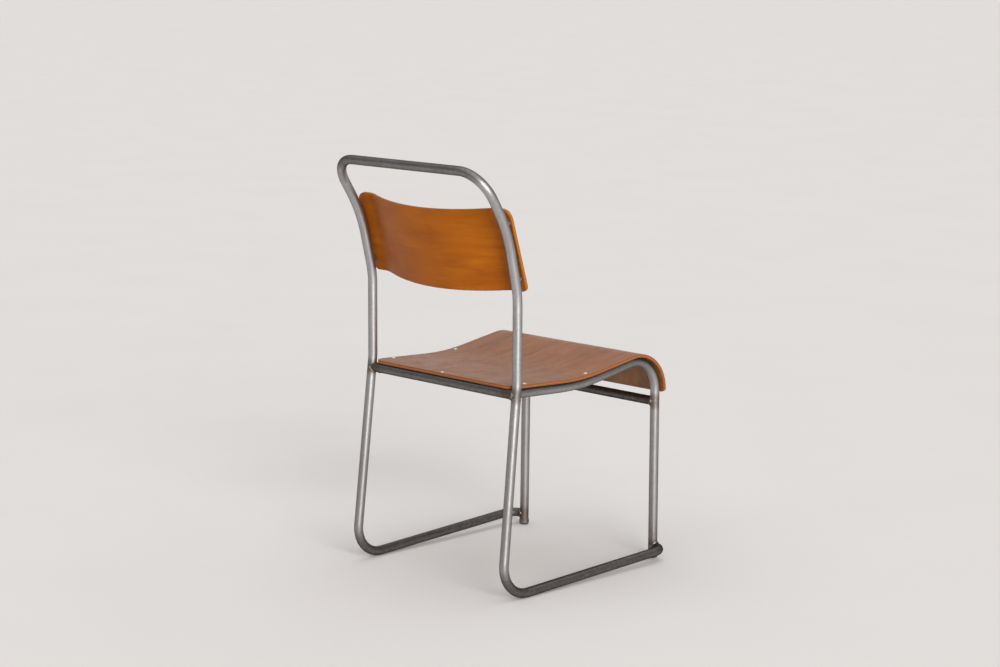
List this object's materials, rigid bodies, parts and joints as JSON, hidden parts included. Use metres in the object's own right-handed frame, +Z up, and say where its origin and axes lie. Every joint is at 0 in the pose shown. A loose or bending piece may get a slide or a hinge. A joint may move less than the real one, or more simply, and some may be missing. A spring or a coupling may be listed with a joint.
{
  "type": "stacking chair",
  "caption": "Stacking chair with a bent steel tube frame on sled runners, a curved plywood seat with a rolled front edge and a curved plywood backrest on stand-off spacers.",
  "frame": {"origin": "centre of the bounding box at floor level", "axes": "+Z up, -Y the way the sitter faces, +X the sitter's left"},
  "size_m": [0.4762, 0.5436, 0.8615],
  "materials": {
    "tube_steel": "clear lacquered bare steel tube, lightly mottled and brushed",
    "weld_steel": "weld bead, ripples dressed smooth, slightly heat tinted",
    "ferrule_steel": "pressed steel cap, satin, scuffed underneath",
    "seat_ply": "moulded plywood with satin clear lacquer",
    "back_ply": "moulded plywood with satin clear lacquer, warm orange brown",
    "rivet_metal": "bright domed rivet head",
    "washer_rubber": "thin black rubber washer",
    "spacer_metal": "turned aluminium spacer, satin"
  },
  "bodies": {
    "root": {"back_frame": "tube_steel", "side_frame_left": "tube_steel", "side_frame_right": "tube_steel", "rear_cross_rail": "tube_steel", "front_cross_bar": "tube_steel", "weld_post_left": "weld_steel", "weld_post_right": "weld_steel", "weld_seat_rail_left": "weld_steel", "weld_seat_rail_right": "weld_steel", "weld_cross_bar_left": "weld_steel", "weld_cross_bar_right": "weld_steel", "weld_runner_left": "weld_steel", "weld_runner_right": "weld_steel", "foot_ferrule_left": "ferrule_steel", "foot_ferrule_right": "ferrule_steel", "seat_panel": "seat_ply", "back_panel": "back_ply", "seat_rivets": "rivet_metal", "back_rivets": "rivet_metal", "seat_washers": "washer_rubber", "back_spacers": "spacer_metal"}
  },
  "joints": []
}
